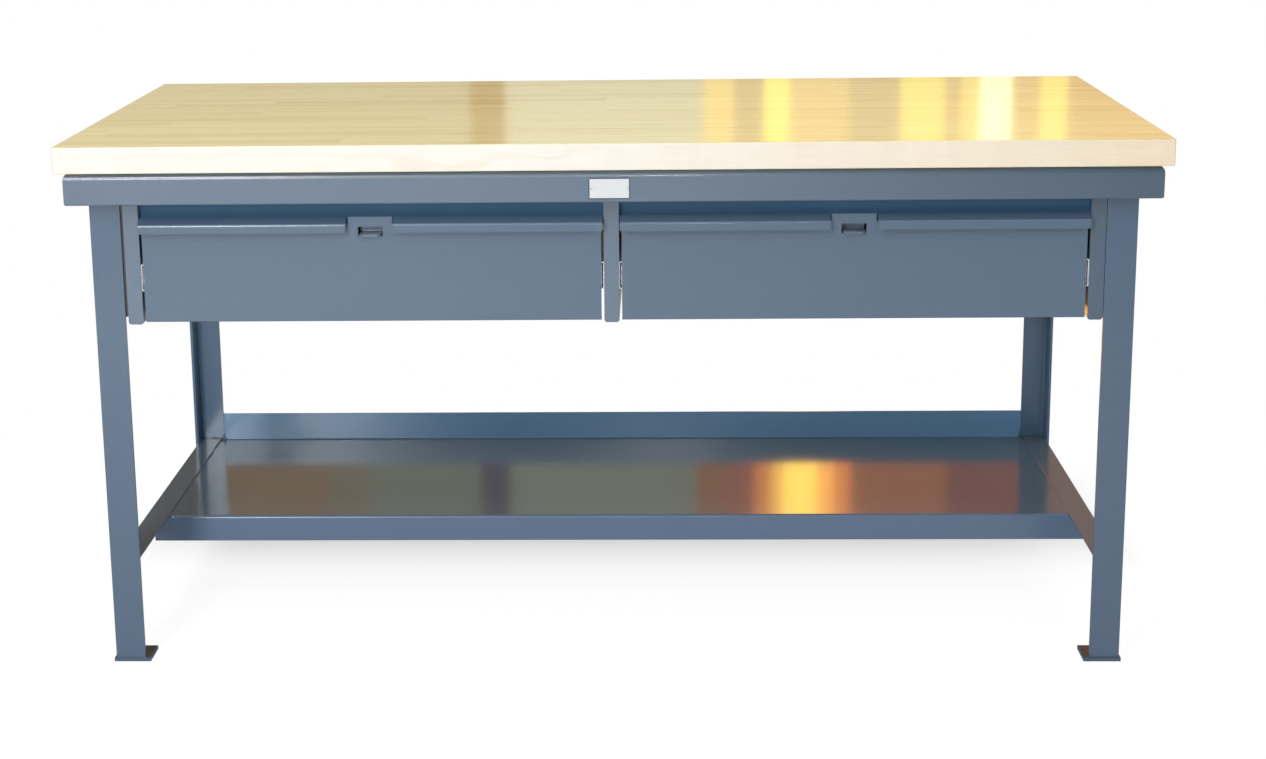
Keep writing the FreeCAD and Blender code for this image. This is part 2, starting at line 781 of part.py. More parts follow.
make_top()
for label, side, along_x in (("apron_front", -1, True), ("apron_back", 1, True),
                             ("apron_left", -1, False), ("apron_right", 1, False)):
    make_apron(label, side, along_x)
for y_side, end in ((-1, "front"), (1, "back")):
    for x_side, hand in ((-1, "left"), (1, "right")):
        make_leg(f"leg_{end}_{hand}", x_side, y_side)
        make_foot_plate(f"foot_plate_{end}_{hand}", x_side, y_side)
for x_side, hand in ((-1, "left"), (1, "right")):
    make_shelf_rail(f"shelf_rail_{hand}", x_side)
make_shelf()
for hand, middle in hangers.items():
    make_brace(f"brace_{hand}", middle, 1 if hand == "right" else -1)
    make_hanger(f"drawer_hanger_{hand}", middle)
for hand, side in (("left", -1), ("right", 1)):
    make_lap_strip(f"lap_strip_{hand}", hangers[hand], side)
for hand, middle in drawers.items():
    make_front_rail(f"front_rail_{hand}", middle)
    make_tongue(f"padlock_tongue_{hand}", middle)
    make_drawer_front(f"drawer_front_{hand}", middle)
    make_tray(f"drawer_tray_{hand}", middle)
    make_drawer_back(f"drawer_back_{hand}", middle)
    for side, name in ((-1, "a"), (1, "b")):
        make_slide(f"{hand}_{name}", middle + bay_half * side, -side)
make_lag_screws()
make_nameplate()

doc.recompute()
for item in doc.Objects:
    if "Invalid" in item.State or "Error" in item.State:
        raise RuntimeError(f"{item.Label} did not build: {item.State}")
os.makedirs("parts", exist_ok=True)
for node in nodes:
    shape = node.Shape
    if shape.isNull() or not shape.isValid():
        raise RuntimeError(f"{node.Label} has no valid shape")
    shape.exportStep(f"parts/{node.Label}.step")
    print(node.Label, len(shape.Solids), round(shape.Volume))
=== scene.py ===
import math
import random

import bmesh
import bpy
from mathutils import Matrix, Vector


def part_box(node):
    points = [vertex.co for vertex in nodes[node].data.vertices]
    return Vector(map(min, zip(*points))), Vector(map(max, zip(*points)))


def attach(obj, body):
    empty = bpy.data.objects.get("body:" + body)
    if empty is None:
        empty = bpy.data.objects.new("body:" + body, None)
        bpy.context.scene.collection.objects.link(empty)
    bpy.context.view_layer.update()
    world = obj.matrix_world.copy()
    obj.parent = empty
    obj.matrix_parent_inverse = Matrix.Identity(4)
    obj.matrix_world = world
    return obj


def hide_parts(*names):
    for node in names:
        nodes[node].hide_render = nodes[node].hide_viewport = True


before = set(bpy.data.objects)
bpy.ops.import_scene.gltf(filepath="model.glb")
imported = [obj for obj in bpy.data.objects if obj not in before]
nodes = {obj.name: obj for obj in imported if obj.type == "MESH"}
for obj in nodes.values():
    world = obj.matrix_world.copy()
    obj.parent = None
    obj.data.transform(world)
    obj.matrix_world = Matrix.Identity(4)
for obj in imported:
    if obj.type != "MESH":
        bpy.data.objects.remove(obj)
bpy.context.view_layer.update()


# Steel frame
# Four folded channels mitred at the corners, braces, angle legs and sheared foot plates, all of mild
# steel, welded together and sprayed with one coat of blue-grey gloss enamel.

def srgb(red, green, blue):
    """A colour read as 0 to 255, as the linear values that the shaders take."""
    return tuple(((value / 255 + 0.055) / 1.055) ** 2.4 for value in (red, green, blue)) + (1.0,)


def add_node(tree, kind, inputs=None, **settings):
    node = tree.nodes.new("ShaderNode" + kind)
    for name, value in settings.items():
        setattr(node, name, value)
    for name, value in (inputs or {}).items():
        if isinstance(value, bpy.types.NodeSocket):
            tree.links.new(value, node.inputs[name])
        else:
            node.inputs[name].default_value = value
    return node


def maths(tree, operation, first, second=0.0):
    return add_node(tree, "Math", {0: first, 1: second}, operation=operation).outputs[0]


def spread(tree, value, low, high, to_low, to_high):
    ranged = add_node(tree, "MapRange", {"Value": value, "From Min": low, "From Max": high,
                                         "To Min": to_low, "To Max": to_high})
    return ranged.outputs["Result"]


def noise(tree, place, scale, detail=2.0, roughness=0.5):
    cloud = add_node(tree, "TexNoise", {"Vector": place, "Scale": scale, "Detail": detail,
                                        "Roughness": roughness})
    return cloud.outputs[0]


def new_group(name, inputs, outputs):
    group = bpy.data.node_groups.new(name, "ShaderNodeTree")
    for label, kind, value in inputs:
        socket = group.interface.new_socket(label, in_out="INPUT", socket_type="NodeSocket" + kind)
        socket.default_value = value
    for label, kind in outputs:
        group.interface.new_socket(label, in_out="OUTPUT", socket_type="NodeSocket" + kind)
    return group, group.nodes.new("NodeGroupInput").outputs, group.nodes.new("NodeGroupOutput").inputs


def place_group(tree, group, inputs):
    placed = tree.nodes.new("ShaderNodeGroup")
    placed.node_tree = group
    for name, value in inputs.items():
        placed.inputs[name].default_value = value
    return placed.outputs


def new_finish(name, **constants):
    """A material whose shader holds these plain numbers, and its node tree."""
    material = bpy.data.materials.new(name)
    material.use_nodes = True
    shader = material.node_tree.nodes["Principled BSDF"]
    for label, value in constants.items():
        shader.inputs[label.replace("_", " ")].default_value = value
    return material, material.node_tree, shader


def relief(tree, shader, height, depth, distance):
    bump = add_node(tree, "Bump", {"Height": height, "Strength": depth, "Distance": distance})
    tree.links.new(bump.outputs["Normal"], shader.inputs["Normal"])


def dress(material, *names):
    """Gives the finish to CAD nodes."""
    for name in names:
        for material_slot in nodes[name].material_slots:
            material_slot.material = material


# Sprayed enamel: slow drifts of tone, dust and rub marks that change the gloss, and orange peel.
sprayed_enamel, given, made = new_group(
    "sprayed_enamel",
    [("Paint", "Color", (0.1, 0.2, 0.3, 1.0)), ("Drift", "Float", 0.05), ("Gloss low", "Float", 0.25),
     ("Gloss high", "Float", 0.4)],
    [("Color", "Color"), ("Roughness", "Float"), ("Height", "Float")])
where = add_node(sprayed_enamel, "TexCoord").outputs["Object"]
drift = maths(sprayed_enamel, "SUBTRACT", noise(sprayed_enamel, where, 2.3, 2.0), 0.5)
speck = maths(sprayed_enamel, "SUBTRACT", noise(sprayed_enamel, where, 160.0, 2.0), 0.5)
tone = maths(sprayed_enamel, "ADD", maths(sprayed_enamel, "MULTIPLY", drift, given["Drift"]),
             maths(sprayed_enamel, "MULTIPLY", speck, 0.035))
lit = add_node(sprayed_enamel, "HueSaturation", {"Color": given["Paint"],
                                                 "Value": maths(sprayed_enamel, "ADD", tone, 1.0)})
rubbed = noise(sprayed_enamel, where, 30.0, 4.0, 0.55)
gloss = add_node(sprayed_enamel, "MapRange", {"Value": rubbed, "From Min": 0.35, "From Max": 0.7,
                                              "To Min": given["Gloss low"], "To Max": given["Gloss high"]})
peel = noise(sprayed_enamel, where, 340.0, 1.0)
sprayed_enamel.links.new(lit.outputs["Color"], made["Color"])
sprayed_enamel.links.new(gloss.outputs["Result"], made["Roughness"])
sprayed_enamel.links.new(peel, made["Height"])


upright_dullness = 0.1


def enamel(name, paint, drift, gloss_low, gloss_high, peel_depth, painted_light_shift=None, level_painted_reflection=None, coat=0.6,
           shine=0.65):
    """The sprayed enamel in one paint, with a clear coat's weight and a shine. It may change to another
    paint along an axis, as (axis, from, to, paint), which is painted light or shade along the piece. Level
    faces may have a paint of their own, which is a painted reflection of the room, and are then glossier
    than upright ones."""
    material, tree, shader = new_finish(name, Metallic=0.0, IOR=1.5, Specular_IOR_Level=shine,
                                        Coat_Weight=coat, Coat_Roughness=0.15)
    skin = place_group(tree, sprayed_enamel, {"Paint": paint, "Drift": drift, "Gloss low": gloss_low,
                                              "Gloss high": gloss_high})
    spot = add_node(tree, "TexCoord")
    mixed = paint
    # Painted light or shade: the paint changes along one axis.
    if painted_light_shift:
        axis, start, end, far_painted_light = painted_light_shift
        along = spread(tree, add_node(tree, "SeparateXYZ", {0: spot.outputs["Object"]}).outputs[axis],
                       start, end, 0.0, 1.0)
        mixed = add_node(tree, "Mix", {"Factor": along, "A": mixed, "B": far_painted_light},
                         data_type="RGBA").outputs["Result"]
    # Painted reflection: level faces take a paint of their own.
    if level_painted_reflection:
        facing = add_node(tree, "SeparateXYZ", {0: spot.outputs["Normal"]}).outputs[2]
        level = spread(tree, maths(tree, "ABSOLUTE", facing), 0.95, 0.995, 0.0, 1.0)
        mixed = add_node(tree, "Mix", {"Factor": level, "A": mixed, "B": level_painted_reflection},
                         data_type="RGBA").outputs["Result"]
        for label, gloss in (("Gloss low", gloss_low), ("Gloss high", gloss_high)):
            duller = spread(tree, level, 0.0, 1.0, gloss + upright_dullness, gloss)
            tree.links.new(duller, skin["Color"].node.inputs[label])
    if painted_light_shift or level_painted_reflection:
        tree.links.new(mixed, skin["Color"].node.inputs["Paint"])
    tree.links.new(skin["Color"], shader.inputs["Base Color"])
    tree.links.new(skin["Roughness"], shader.inputs["Roughness"])
    relief(tree, shader, skin["Height"], peel_depth, 0.0006)
    return material


# The frame's paint darkens towards the right, from x 0.1 to 0.85: painted shade for the light of the
# front-left lamps falling off.
frame_enamel = enamel("frame_enamel", srgb(92, 110, 129), 0.1, 0.33, 0.36, 0.2,
                      (0, 0.1, 0.85, srgb(71, 90, 108)))
# The front legs take a darker copy of the frame's paint, which is painted shade standing in for the apron's
# shadow.
front_leg_shaded_enamel = enamel("front_leg_shaded_enamel", srgb(73, 95, 119), 0.1, 0.33, 0.36, 0.2)
dress(frame_enamel, "apron_front", "apron_back", "apron_left", "apron_right", "brace_left", "brace_centre",
      "brace_right")
# The back legs take a deeper blue copy of the paint, which is painted shade standing in for the dim light
# under the bench.
back_leg_shaded_enamel = enamel("back_leg_shaded_enamel", srgb(70, 104, 136), 0.1, 0.33, 0.36, 0.2)
dress(back_leg_shaded_enamel, "leg_back_left", "leg_back_right")
dress(front_leg_shaded_enamel, "leg_front_left", "leg_front_right")
# The foot plates' sides take the front legs' darker paint (painted shade), and their tops a dull brown that
# is a painted reflection of the room.
foot_enamel = enamel("foot_enamel", srgb(73, 95, 119), 0.1, 0.33, 0.36, 0.2, None, srgb(80, 75, 66),
                     coat=0.1, shine=0.4)
dress(foot_enamel, "foot_plate_front_left", "foot_plate_front_right", "foot_plate_back_left",
      "foot_plate_back_right")


# Weld beads
# Fillet welds of the frame: rippled steel laid in the inner corners where the pieces meet, painted over
# with the frame, so they show as soft scalloped lines.

bead_ripple = 0.0021
random.seed(7)


def weld_bead(name, start, end, radius, body="bench"):
    """A bead from start to end: rings of metal, each a little swollen and shifted, tapered at both ends."""
    start, end = Vector(start), Vector(end)
    along = end - start
    count = max(4, round(along.length / bead_ripple))
    side = along.orthogonal().normalized()
    other = along.cross(side).normalized()
    mesh = bmesh.new()
    rings = []
    for index in range(count * 3 + 1):
        share = index / (count * 3)
        swell = (1.0, 0.86, 0.93)[index % 3] + random.uniform(-0.05, 0.05)
        taper = min(1.0, 0.35 + 9.0 * min(share, 1 - share) * along.length / 0.02)
        middle = start + along * share
        rings.append([mesh.verts.new(middle + (side * math.cos(turn) + other * math.sin(turn))
                                     * radius * swell * taper)
                      for turn in (math.tau * step / 8 for step in range(8))])
    for near, far in zip(rings, rings[1:]):
        for step in range(8):
            mesh.faces.new((near[step], near[(step + 1) % 8], far[(step + 1) % 8], far[step]))
    mesh.faces.new(rings[0])
    mesh.faces.new(rings[-1])
    bmesh.ops.recalc_face_normals(mesh, faces=mesh.faces)
    data = bpy.data.meshes.new(name)
    mesh.to_mesh(data)
    mesh.free()
    for face in data.polygons:
        face.use_smooth = True
    data.materials.append(frame_enamel)
    bead = bpy.data.objects.new(name, data)
    bpy.context.scene.collection.objects.link(bead)
    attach(bead, body)


leg_steel = 0.0048
foot_bead = 0.0022
apron_bead = 0.0018
for end in ("front", "back"):
    for hand in ("left", "right"):
        low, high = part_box(f"leg_{end}_{hand}")
        plate_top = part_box(f"foot_plate_{end}_{hand}")[1].z
        apron_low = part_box("apron_front")[0].z
        outer_x, toe_x = (low.x, high.x) if hand == "left" else (high.x, low.x)
        outer_y, toe_y = (low.y, high.y) if end == "front" else (high.y, low.y)
        inner_x = outer_x + leg_steel * (1 if hand == "left" else -1)
        inner_y = outer_y + leg_steel * (1 if end == "front" else -1)
        corner = (inner_x, inner_y, plate_top)
        weld_bead(f"foot_bead_x_{end}_{hand}", corner, (toe_x, inner_y, plate_top), foot_bead)
        weld_bead(f"foot_bead_y_{end}_{hand}", corner, (inner_x, toe_y, plate_top), foot_bead)
        inside = -0.0002 if hand == "left" else 0.0002
        weld_bead(f"apron_bead_{end}_{hand}", (outer_x + inside, toe_y, apron_low),
                  (outer_x + inside, outer_y, apron_low), apron_bead)


# Lower shelf
# One steel pan, its front edge turned down and its back edge turned up, lying under two angle rails that
# are welded between the legs. Its wide flat deck was sprayed heavily and shines like glass.

# The deck's level faces are painted greyer, a painted reflection of the room, and the paint turns a lighter
# blue towards the back, a painted highlight of the light falling on the back flange.
deck_enamel = enamel("deck_enamel", srgb(92, 112, 138), 0.14, 0.14, 0.17, 0.05,
                     (1, 0.2, 0.36, srgb(104, 148, 186)), srgb(93, 109, 120), coat=0.25, shine=0.5)
dress(deck_enamel, "lower_shelf", "shelf_rail_left", "shelf_rail_right")

corner_bead = 0.0028
toe_bead = 0.0024
sheet_bead = 0.0016
for hand, sign in (("left", -1), ("right", 1)):
    low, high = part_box(f"shelf_rail_{hand}")
    shelf_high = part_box("lower_shelf")[1]
    leg_low, leg_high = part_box(f"leg_back_{hand}")
    toe = leg_high.x if hand == "left" else leg_low.x
    back = leg_high.y - leg_steel
    weld_bead(f"shelf_corner_bead_{hand}", (toe, shelf_high.y - 0.0025, high.z - 0.002),
              (toe, shelf_high.y - 0.0025, high.z + 0.009), corner_bead)
    weld_bead(f"shelf_toe_bead_{hand}", (toe - 0.004 * sign, back, high.z),
              (toe + 0.026 * sign, back, high.z), toe_bead)
    outer = low.x if hand == "left" else high.x
    for y in (low.y + 0.002, low.y + 0.036):
        weld_bead(f"rail_bead_{hand}_{round(y * 1000) % 97}", (outer - 0.001 * sign, y, high.z),
                  (outer - 0.001 * sign, y + 0.03, high.z), sheet_bead)


# Drawer housing
# Three hangers of folded sheet stand on the braces, with a front rail between each pair. A bent strap on
# the back of each front rail is the fixed half of the padlock hasp. All painted with the frame; here the
# front rails take a darker copy of its paint as painted shade. A flat lap strip joins each outer hanger to
# the leg; its dark brown-grey is painted shade for the narrow gap there.

dress(frame_enamel, "drawer_hanger_left", "drawer_hanger_centre", "drawer_hanger_right",
      "padlock_tongue_left", "padlock_tongue_right")
# The front rails take a darker, deeper blue copy of the paint, which is painted shade standing in for the
# shadow under the apron.
front_rail_shaded_enamel = enamel("front_rail_shaded_enamel", srgb(50, 92, 126), 0.12, 0.5, 0.6, 0.3, coat=0.0, shine=0.3)
dress(front_rail_shaded_enamel, "front_rail_left", "front_rail_right")
# The lap strips' dark brown-grey is painted shade for the narrow gap between hanger and leg.
shaded_enamel = enamel("shaded_enamel", srgb(64, 56, 56), 0.3, 0.4, 0.6, 0.3, coat=0.0)
dress(shaded_enamel, "lap_strip_left", "lap_strip_right")
for place in ("left", "centre", "right"):
    low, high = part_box(f"drawer_hanger_{place}")
    for sign, x in ((-1, low.x), (1, high.x)):
        for y in (low.y + 0.004, low.y + 0.24, high.y - 0.05):
            weld_bead(f"hanger_bead_{place}_{sign + 1}_{round(y * 1000) + 500}", (x, y, high.z),
                      (x, y + 0.028, high.z), sheet_bead)


# Slides
# Four full-extension ball-bearing slides of rolled strip, bright zinc plated, with pan-head screws, and
# rows of steel balls held in thin folded cages.

rolled_zinc, given, made = new_group(
    "rolled_zinc", [("Zinc", "Color", (0.7, 0.7, 0.7, 1.0)), ("Streak", "Float", 0.1)],
    [("Color", "Color"), ("Roughness", "Float"), ("Height", "Float")])
where = add_node(rolled_zinc, "TexCoord").outputs["Object"]
drawn = add_node(rolled_zinc, "VectorMath", {0: where, 1: (420.0, 3.0, 420.0)}, operation="MULTIPLY")
streak = noise(rolled_zinc, drawn.outputs[0], 1.0, 3.0)
cloud = noise(rolled_zinc, where, 26.0, 3.0)
change = maths(rolled_zinc, "MULTIPLY", maths(rolled_zinc, "SUBTRACT", cloud, 0.5), given["Streak"])
lit = add_node(rolled_zinc, "HueSaturation", {"Color": given["Zinc"],
                                              "Value": maths(rolled_zinc, "ADD", change, 1.0)})
rolled_zinc.links.new(lit.outputs["Color"], made["Color"])
rolled_zinc.links.new(spread(rolled_zinc, streak, 0.3, 0.7, 0.24, 0.42), made["Roughness"])
rolled_zinc.links.new(streak, made["Height"])


def zinc(name, colour, streak, metallic):
    material, tree, shader = new_finish(name, Metallic=metallic)
    skin = place_group(tree, rolled_zinc, {"Zinc": colour, "Streak": streak})
    tree.links.new(skin["Color"], shader.inputs["Base Color"])
    tree.links.new(skin["Roughness"], shader.inputs["Roughness"])
    relief(tree, shader, skin["Height"], 0.15, 0.0003)
    return material


bright_zinc = zinc("bright_zinc", srgb(246, 247, 246), 0.1, 0.1)
ball_steel = zinc("ball_steel", srgb(205, 207, 210), 0.1, 1.0)
slide_names = [f"{hand}_{place}" for hand in ("left", "right") for place in "ab"]
for name in slide_names:
    dress(bright_zinc, f"slide_outer_{name}", f"slide_middle_{name}", f"slide_inner_{name}")


def finish_mesh(name, mesh, material, body, smooth=True):
    """Turns worked mesh into a piece that rides on a body."""
    bmesh.ops.recalc_face_normals(mesh, faces=mesh.faces)
    data = bpy.data.meshes.new(name)
    mesh.to_mesh(data)
    mesh.free()
    for face in data.polygons:
        face.use_smooth = smooth
    data.materials.append(material)
    piece = bpy.data.objects.new(name, data)
    bpy.context.scene.collection.objects.link(piece)
    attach(piece, body)
    return piece


def pan_head(mesh, seat, outward, radius, height, recess=True):
    """A domed head on its seat, with a cross recess pressed into it."""
    outward = Vector(outward)
    side = outward.orthogonal().normalized()
    other = outward.cross(side)
    rings = 9
    steps = 24
    grid = []
    for ring in range(rings + 1):
        far = radius * ring / rings
        row = []
        for step in range(steps):
            turn = math.tau * step / steps
            across, up = far * math.cos(turn), far * math.sin(turn)
            rise = height * math.sqrt(max(0.0, 1 - (far / radius) ** 3))
            arm = min(abs(across), abs(up)) < radius * 0.14 and far < radius * 0.62
            if recess and arm:
                rise *= 0.35
            row.append(mesh.verts.new(Vector(seat) + side * across + other * up + outward * rise))
        grid.append(row)
    for near, far in zip(grid[1:], grid[2:]):
        for step in range(steps):
            mesh.faces.new((near[step], near[(step + 1) % steps], far[(step + 1) % steps], far[step]))
    mesh.faces.new(grid[1])
    bmesh.ops.delete(mesh, geom=grid[0], context="VERTS")


def ball(mesh, middle, radius):
    bmesh.ops.create_uvsphere(mesh, u_segments=16, v_segments=10, radius=radius,
                              matrix=Matrix.Translation(middle))


def punched_strip(mesh, start, along, across, length, width, holes, radius):
    """A flat strip with round windows: cells of the strip, each bridged from its rim to its window."""
    along, across = Vector(along), Vector(across)
    cell = length / holes
    count = 16
    for hole in range(holes):
        middle = Vector(start) + along * cell * (hole + 0.5)
        rim, window = [], []
        for step in range(count):
            turn = math.tau * (step + 0.5) / count
            cosine, sine = math.cos(turn), math.sin(turn)
            reach = 1 / max(abs(cosine), abs(sine))
            rim.append(mesh.verts.new(middle + along * cosine * reach * cell / 2
                                      + across * sine * reach * width / 2))
            window.append(mesh.verts.new(middle + along * cosine * radius + across * sine * radius))
        for step in range(count):
            after = (step + 1) % count
            mesh.faces.new((rim[step], rim[after], window[after], window[step]))


ball_count = 12
ball_radius = {"outer": 0.002025, "inner": 0.00185}
window_play = 0.0002
cage_sheet = 0.0005
for hand in ("left", "right"):
    for place, inward in (("a", 1), ("b", -1)):
        for kind, body in (("outer", f"outer_cages_{hand}"), ("inner", f"inner_cages_{hand}")):
            node = f"ball_cage_{kind}_{hand}_{place}"
            low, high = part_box(node)
            wall = low.x if inward > 0 else high.x
            radius = ball_radius[kind]
            row = (high.z - low.z) / 2 - radius
            level = (high.z + low.z) / 2
            tip = high.x if inward > 0 else low.x
            rim = cage_sheet + window_play
            depth = tip - (radius + rim) * inward
            length = high.y - low.y
            mesh = bmesh.new()
            width = abs(tip - wall)
            for sign in (-1, 1):
                punched_strip(mesh, (wall + width / 2 * inward, low.y, level + row * sign), (0, 1, 0),
                              (1, 0, 0), length, width, ball_count, radius + window_play)
            web = [mesh.verts.new((wall, y, level + row * sign)) for y, sign in
                   ((low.y, -1), (high.y, -1), (high.y, 1), (low.y, 1))]
            mesh.faces.new(web)
            for index in range(ball_count):
                for sign in (-1, 1):
                    y = low.y + length * (index + 0.5) / ball_count
                    ball(mesh, (depth, y, level + row * sign), radius)
            cage = finish_mesh(f"caged_balls_{kind}_{hand}_{place}", mesh, ball_steel, body)
            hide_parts(node)

# The screws of each slide: three into the hanger's wall and three into the drawer's side.
screw_radius = 0.0036
screw_rise = 0.0012
screw_inset = 0.036
for hand in ("left", "right"):
    for place, inward in (("a", 1), ("b", -1)):
        for member, body, sheet, outward in (("outer", "bench", 0.0013, inward),
                                             ("inner", f"drawer_{hand}", 0.0012, -inward)):
            low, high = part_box(f"slide_{member}_{hand}_{place}")
            level = (low.z + high.z) / 2
            if member == "outer":
                seat = (low.x if inward > 0 else high.x) + sheet * inward
            else:
                seat = (high.x if inward > 0 else low.x) - sheet * inward
            mesh = bmesh.new()
            for y in (low.y + screw_inset, (low.y + high.y) / 2, high.y - screw_inset):
                pan_head(mesh, (seat, y, level), (outward, 0, 0), screw_radius, screw_rise)
            finish_mesh(f"slide_screws_{member}_{hand}_{place}", mesh, ball_steel, body)


# Drawers
# Each drawer is a folded tray with a back panel, spot-welded to a front of heavier sheet. The front's top
# edge is folded over twice into two pulls, with a tab and a padlock slot between them.

# The drawers' paint is a little darker than the frame's, which is painted shade standing in for the shadow
# under the apron.
drawer_enamel = enamel("drawer_enamel", srgb(77, 99, 122), 0.08, 0.33, 0.36, 0.18)
for hand in ("left", "right"):
    dress(drawer_enamel, f"drawer_front_{hand}", f"drawer_tray_{hand}", f"drawer_back_{hand}")


# Nameplate
# A blank plate of thin aluminium with a dark line along its edge, riveted to the middle of the front
# apron by two round heads.

plate_metal, tree, shader = new_finish("plate_metal", Metallic=0.15)
where = add_node(tree, "TexCoord").outputs["Object"]
brushed = add_node(tree, "VectorMath", {0: where, 1: (6.0, 900.0, 900.0)}, operation="MULTIPLY")
brush = noise(tree, brushed.outputs[0], 1.0, 3.0)
shade = add_node(tree, "HueSaturation", {"Color": srgb(212, 216, 219),
                                         "Value": spread(tree, brush, 0.3, 0.7, 0.95, 1.02)})
low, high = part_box("nameplate")
spots = add_node(tree, "SeparateXYZ", {0: where}).outputs
inset_x = maths(tree, "SUBTRACT", (high.x - low.x) / 2,
                maths(tree, "ABSOLUTE", maths(tree, "SUBTRACT", spots[0], (high.x + low.x) / 2)))
inset_z = maths(tree, "SUBTRACT", (high.z - low.z) / 2,
                maths(tree, "ABSOLUTE", maths(tree, "SUBTRACT", spots[2], (high.z + low.z) / 2)))
bordered = spread(tree, maths(tree, "MINIMUM", inset_x, inset_z), 0.0014, 0.002, 1.0, 0.0)
plate_face = add_node(tree, "Mix", {"Factor": bordered, "A": shade.outputs["Color"],
                                    "B": srgb(62, 66, 92)}, data_type="RGBA")
tree.links.new(plate_face.outputs["Result"], shader.inputs["Base Color"])
tree.links.new(spread(tree, brush, 0.3, 0.7, 0.38, 0.55), shader.inputs["Roughness"])
relief(tree, shader, brush, 0.1, 0.0002)
dress(plate_metal, "nameplate")
rivet_inset = 0.004
rivet_radius = 0.0021
rivet_rise = 0.0009
mesh = bmesh.new()
for x in (low.x + rivet_inset, high.x - rivet_inset):
    pan_head(mesh, (x, low.y, (low.z + high.z) / 2), (0, -1, 0), rivet_radius, rivet_rise, recess=False)
finish_mesh("plate_rivets", mesh, ball_steel, "bench")


# Maple top
# Edge-glued staves of hard maple, end-matched in random lengths, sanded flat, eased at the edges and
# lacquered. Lag screws through the aprons' flanges hold it down.

lag_zinc = zinc("lag_zinc", srgb(196, 194, 184), 0.2, 0.9)
dress(lag_zinc, "top_lag_screws")

maple_staves, given, made = new_group(
    "maple_staves",
    [("Pale", "Color", (0.8, 0.7, 0.5, 1.0)), ("Tan", "Color", (0.6, 0.45, 0.3, 1.0)),
     ("Edge", "Color", (0.9, 0.85, 0.8, 1.0)), ("Edge dimmer right", "Color", (0.8, 0.7, 0.6, 1.0)),
     ("Stave width", "Float", 0.04), ("Stave length", "Float", 0.4)],
    [("Color", "Color"), ("Roughness", "Float"), ("Height", "Float")])
tree = maple_staves
spot = add_node(tree, "TexCoord")
where = spot.outputs["Object"]
axes = add_node(tree, "SeparateXYZ", {0: where}).outputs
facing = add_node(tree, "SeparateXYZ", {0: spot.outputs["Normal"]}).outputs
flat = maths(tree, "GREATER_THAN", maths(tree, "ABSOLUTE", facing[2]), 0.6)
sawn_end = maths(tree, "GREATER_THAN", maths(tree, "ABSOLUTE", facing[0]), 0.6)

# Each stave has a number, and each length of it a number too. The edges show one stave from end to end.
stave = maths(tree, "DIVIDE", maths(tree, "ADD", axes[1], 1.0), given["Stave width"])
row = maths(tree, "FLOOR", stave)
row_chance = add_node(tree, "TexWhiteNoise", {"W": row}, noise_dimensions="1D").outputs[0]
run = maths(tree, "ADD", maths(tree, "DIVIDE", maths(tree, "ADD", axes[0], 2.0), given["Stave length"]),
            maths(tree, "MULTIPLY", row_chance, 7.3))
length_number = maths(tree, "MULTIPLY", maths(tree, "FLOOR", run), flat)
ticket = maths(tree, "ADD", maths(tree, "MULTIPLY", row, 13.7), maths(tree, "MULTIPLY", length_number, 3.1))
chance = add_node(tree, "TexWhiteNoise", {"W": ticket}, noise_dimensions="1D").outputs[0]
other_chance = add_node(tree, "TexWhiteNoise", {"W": maths(tree, "ADD", ticket, 0.5)},
                        noise_dimensions="1D").outputs[0]
slide_along = add_node(tree, "CombineXYZ", {0: maths(tree, "MULTIPLY", chance, 9.0),
                                            1: maths(tree, "MULTIPLY", other_chance, 5.0), 2: 0.0})
shifted = add_node(tree, "VectorMath", {0: where, 1: slide_along.outputs[0]}, operation="ADD").outputs[0]


def drawn_out(place, x, y, z):
    return add_node(tree, "VectorMath", {0: place, 1: (x, y, z)}, operation="MULTIPLY").outputs[0]


grain = noise(tree, drawn_out(shifted, 1.7, 78.0, 78.0), 1.0, 5.0, 0.6)
pores = noise(tree, drawn_out(shifted, 14.0, 520.0, 520.0), 1.0, 2.0)
curl = noise(tree, drawn_out(shifted, 26.0, 5.0, 5.0), 1.0, 2.0)
glue = spread(tree, maths(tree, "ABSOLUTE", maths(tree, "SUBTRACT", maths(tree, "FRACT", stave), 0.5)),
              0.487, 0.5, 0.0, 1.0)
butt = spread(tree, maths(tree, "ABSOLUTE", maths(tree, "SUBTRACT", maths(tree, "FRACT", run), 0.5)),
              0.4988, 0.5, 0.0, 1.0)
joint = maths(tree, "MAXIMUM", glue, maths(tree, "MULTIPLY", butt, flat))

# The flame figure of the long edges: growth rings cut at a slant, drifting along the stave.
warp = noise(tree, drawn_out(where, 3.2, 1.0, 9.0), 1.0, 3.0, 0.55)
rings = maths(tree, "SINE", maths(tree, "ADD", maths(tree, "MULTIPLY", axes[2], 150.0),
                                  maths(tree, "MULTIPLY", warp, 34.0)))
flame = maths(tree, "MULTIPLY", spread(tree, rings, 0.1, 1.0, 0.0, 1.0),
              spread(tree, warp, 0.42, 0.62, 0.1, 1.0))

dark_streak = spread(tree, grain, 0.54, 0.74, 0.0, 1.0)
brown = maths(tree, "ADD", maths(tree, "MULTIPLY", dark_streak, 0.75),
              maths(tree, "MULTIPLY", maths(tree, "POWER", chance, 2.0), 0.42))
brown = maths(tree, "ADD", brown, maths(tree, "MULTIPLY", maths(tree, "SUBTRACT", grain, 0.5), 0.6))
wood = add_node(tree, "Mix", {"Factor": brown, "A": given["Pale"], "B": given["Tan"]},
                data_type="RGBA", clamp_factor=True).outputs["Result"]
